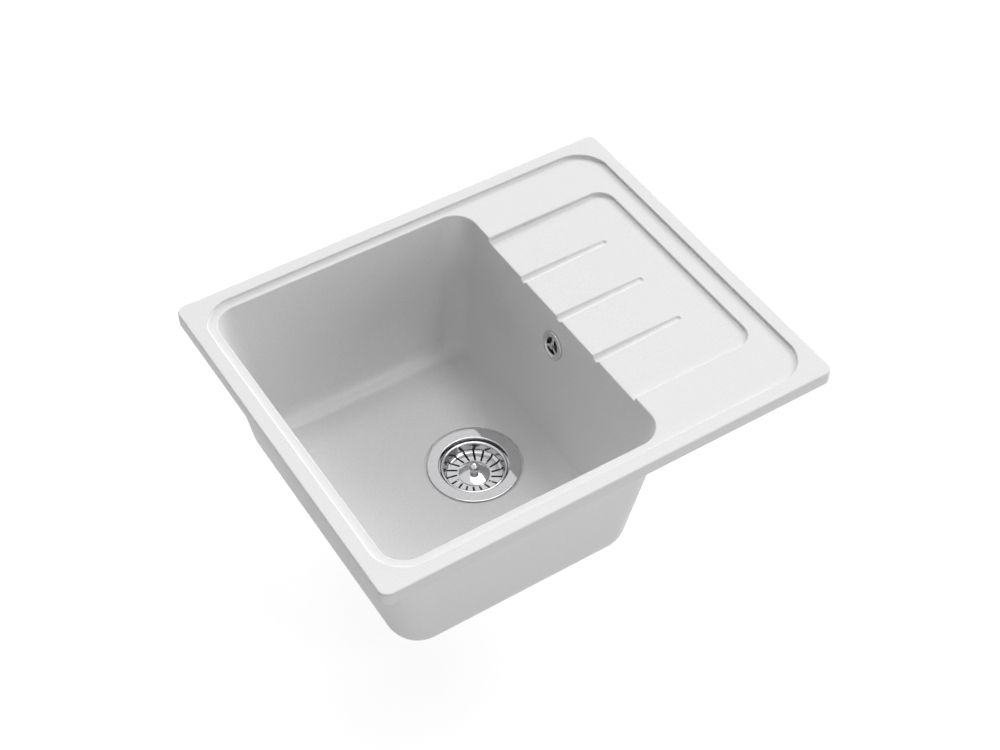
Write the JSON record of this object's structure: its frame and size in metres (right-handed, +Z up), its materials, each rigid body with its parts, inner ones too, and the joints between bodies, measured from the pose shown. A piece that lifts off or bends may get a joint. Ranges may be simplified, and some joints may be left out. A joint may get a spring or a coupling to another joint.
{
  "type": "inset kitchen sink",
  "caption": "Composite inset kitchen sink with one bowl, a grooved drainer, a lift-out basket strainer with a pull-up stopper, a wall overflow and swinging fixing clips.",
  "frame": {"origin": "centre of the rim's outline, on the plane of the rim's underside, which is the worktop's surface", "axes": "+Z up, +X along the front edge towards the drainer, +Y towards the wall behind the sink"},
  "size_m": [0.58, 0.48, 0.292],
  "materials": {
    "composite": "satin, finely speckled white quartz composite",
    "chrome": "polished",
    "steel": "bright stainless",
    "rubber": "matt black",
    "plastic": "white polypropylene",
    "nylon": "grey nylon",
    "brass": "turned"
  },
  "bodies": {
    "sink": {"sink_basin": "composite", "waste_flange": "chrome", "overflow_grille": "chrome", "overflow_screw": "chrome", "clamp_screw": "steel", "clip_bolts": "steel", "clip_nuts": "steel", "rim_seal": "rubber", "flange_gasket": "rubber", "body_gasket": "rubber", "overflow_gasket": "rubber", "upper_pipe_seal": "rubber", "lower_pipe_seal": "rubber", "waste_body": "plastic", "overflow_housing": "plastic", "overflow_pipe": "plastic", "upper_pipe_nut": "plastic", "lower_pipe_nut": "plastic", "clamp_insert": "brass", "overflow_insert": "brass", "clip_inserts": "brass"},
    "basket": {"strainer_basket": "steel", "stem_bush": "nylon"},
    "stopper": {"plug_stem": "steel", "plug_knob": "chrome", "stopper_plate": "steel", "stopper_seal": "rubber", "stem_nut": "steel"},
    "claw_front": {"clip_claw_front": "steel"},
    "claw_back": {"clip_claw_back": "steel"},
    "claw_right_front": {"clip_claw_right_front": "steel"},
    "claw_right_back": {"clip_claw_right_back": "steel"}
  },
  "joints": [
    {"name": "basket_lift", "type": "slide", "parent": "sink", "child": "basket", "axis": [0, 0, 1], "range_m": [0, 0.22]},
    {"name": "stopper_pull", "type": "slide", "parent": "basket", "child": "stopper", "axis": [0, 0, 1], "range_m": [0, 0.008]},
    {"name": "claw_front_swing", "type": "hinge", "parent": "sink", "child": "claw_front", "pos_m": [0.19, -0.205, -0.0365], "axis": [0, 0, 1], "range_deg": [0, 90]},
    {"name": "claw_back_swing", "type": "hinge", "parent": "sink", "child": "claw_back", "pos_m": [0.19, 0.205, -0.0365], "axis": [0, 0, -1], "range_deg": [0, 90]},
    {"name": "claw_right_front_swing", "type": "hinge", "parent": "sink", "child": "claw_right_front", "pos_m": [0.26, -0.1, -0.0365], "axis": [0, 0, -1], "range_deg": [0, 90]},
    {"name": "claw_right_back_swing", "type": "hinge", "parent": "sink", "child": "claw_right_back", "pos_m": [0.26, 0.1, -0.0365], "axis": [0, 0, 1], "range_deg": [0, 90]}
  ]
}
